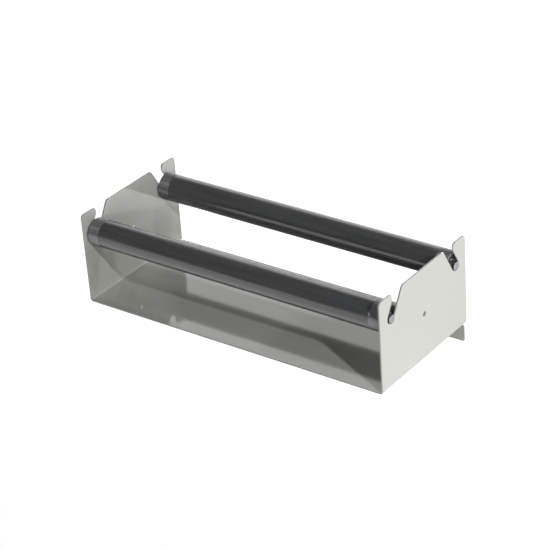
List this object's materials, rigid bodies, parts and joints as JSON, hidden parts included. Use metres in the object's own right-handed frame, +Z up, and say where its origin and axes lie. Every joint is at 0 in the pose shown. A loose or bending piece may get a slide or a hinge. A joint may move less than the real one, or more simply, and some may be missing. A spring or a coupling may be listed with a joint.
{
  "type": "roller tape dispenser",
  "caption": "Open folded sheet-metal tray whose side plates carry free-turning black rollers in slanted open slots, for a wide roll of application tape to lie on.",
  "frame": {"origin": "centre of the underside of the tray's floor", "axes": "+X to the right along the rollers, +Y to the rear, towards the down-turned flange, +Z up along the side plates"},
  "size_m": [0.322, 0.135, 0.1075],
  "materials": {
    "tray": "smooth light grey enamel, fairly glossy",
    "roller_tube": "black anodised, satin",
    "end_cap": "dark grey plastic with fine turned rings",
    "shaft": "bright drawn, turned ends",
    "bearing_steel": "ground",
    "bearing_balls": "polished",
    "bearing_cage": "pressed sheet",
    "bearing_seals": "matt black",
    "retaining_ring": "dark phosphated spring steel"
  },
  "bodies": {
    "tray": {"tray": "tray"},
    "front_axle": {"front_shaft": "shaft", "front_left_bearing_inner_ring": "bearing_steel", "front_left_retaining_ring": "retaining_ring", "front_right_bearing_inner_ring": "bearing_steel", "front_right_retaining_ring": "retaining_ring"},
    "front_roller": {"front_roller_tube": "roller_tube", "front_left_end_cap": "end_cap", "front_right_end_cap": "end_cap", "front_left_bearing_outer_ring": "bearing_steel", "front_left_bearing_seals": "bearing_seals", "front_right_bearing_outer_ring": "bearing_steel", "front_right_bearing_seals": "bearing_seals"},
    "front_ball_cages": {"front_left_bearing_balls": "bearing_balls", "front_left_bearing_cage": "bearing_cage", "front_right_bearing_balls": "bearing_balls", "front_right_bearing_cage": "bearing_cage"},
    "rear_axle": {"rear_shaft": "shaft", "rear_left_bearing_inner_ring": "bearing_steel", "rear_left_retaining_ring": "retaining_ring", "rear_right_bearing_inner_ring": "bearing_steel", "rear_right_retaining_ring": "retaining_ring"},
    "rear_roller": {"rear_roller_tube": "roller_tube", "rear_left_end_cap": "end_cap", "rear_right_end_cap": "end_cap", "rear_left_bearing_outer_ring": "bearing_steel", "rear_left_bearing_seals": "bearing_seals", "rear_right_bearing_outer_ring": "bearing_steel", "rear_right_bearing_seals": "bearing_seals"},
    "rear_ball_cages": {"rear_left_bearing_balls": "bearing_balls", "rear_left_bearing_cage": "bearing_cage", "rear_right_bearing_balls": "bearing_balls", "rear_right_bearing_cage": "bearing_cage"}
  },
  "joints": [
    {"name": "front_roller_lift", "type": "slide", "parent": "tray", "child": "front_axle", "axis": [0, 0.5, 0.866], "range_m": [0, 0.04]},
    {"name": "front_roller_spin", "type": "hinge", "parent": "front_axle", "child": "front_roller", "pos_m": [0, -0.0509, 0.0656], "axis": [1, 0, 0], "continuous": true},
    {"name": "front_ball_cages_spin", "type": "hinge", "parent": "front_axle", "child": "front_ball_cages", "pos_m": [0, -0.0509, 0.0656], "axis": [1, 0, 0], "continuous": true},
    {"name": "rear_roller_lift", "type": "slide", "parent": "tray", "child": "rear_axle", "axis": [0, -0.5, 0.866], "range_m": [0, 0.04]},
    {"name": "rear_roller_spin", "type": "hinge", "parent": "rear_axle", "child": "rear_roller", "pos_m": [0, 0.0509, 0.0656], "axis": [1, 0, 0], "continuous": true},
    {"name": "rear_ball_cages_spin", "type": "hinge", "parent": "rear_axle", "child": "rear_ball_cages", "pos_m": [0, 0.0509, 0.0656], "axis": [1, 0, 0], "continuous": true}
  ],
  "couplings": [
    {"joint": "front_ball_cages_spin", "follows": "front_roller_spin", "ratio": 0.62957},
    {"joint": "rear_ball_cages_spin", "follows": "rear_roller_spin", "ratio": 0.62957}
  ]
}
